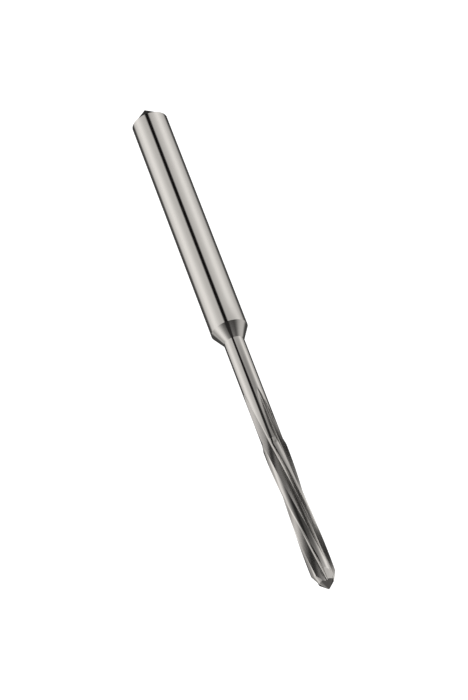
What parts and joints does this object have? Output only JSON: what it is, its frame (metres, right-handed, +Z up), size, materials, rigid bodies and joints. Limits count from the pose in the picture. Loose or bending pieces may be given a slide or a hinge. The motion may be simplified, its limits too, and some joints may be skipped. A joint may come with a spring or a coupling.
{
  "type": "machine reamer",
  "caption": "Solid spiral-fluted machine reamer with a plain round shank, slim neck and pointed ends, for finishing small bores.",
  "frame": {"origin": "on the tool axis, at the middle of the plain shank", "axes": "+X along the tool axis towards the cutting end; +Z up, and one tooth's cutting edge points to +Z where the lead begins; +Y completes the right-handed frame"},
  "size_m": [0.0613, 0.004, 0.004],
  "materials": {
    "steel": "bright ground high-speed steel"
  },
  "bodies": {
    "root": {"reamer": "steel"}
  },
  "joints": []
}
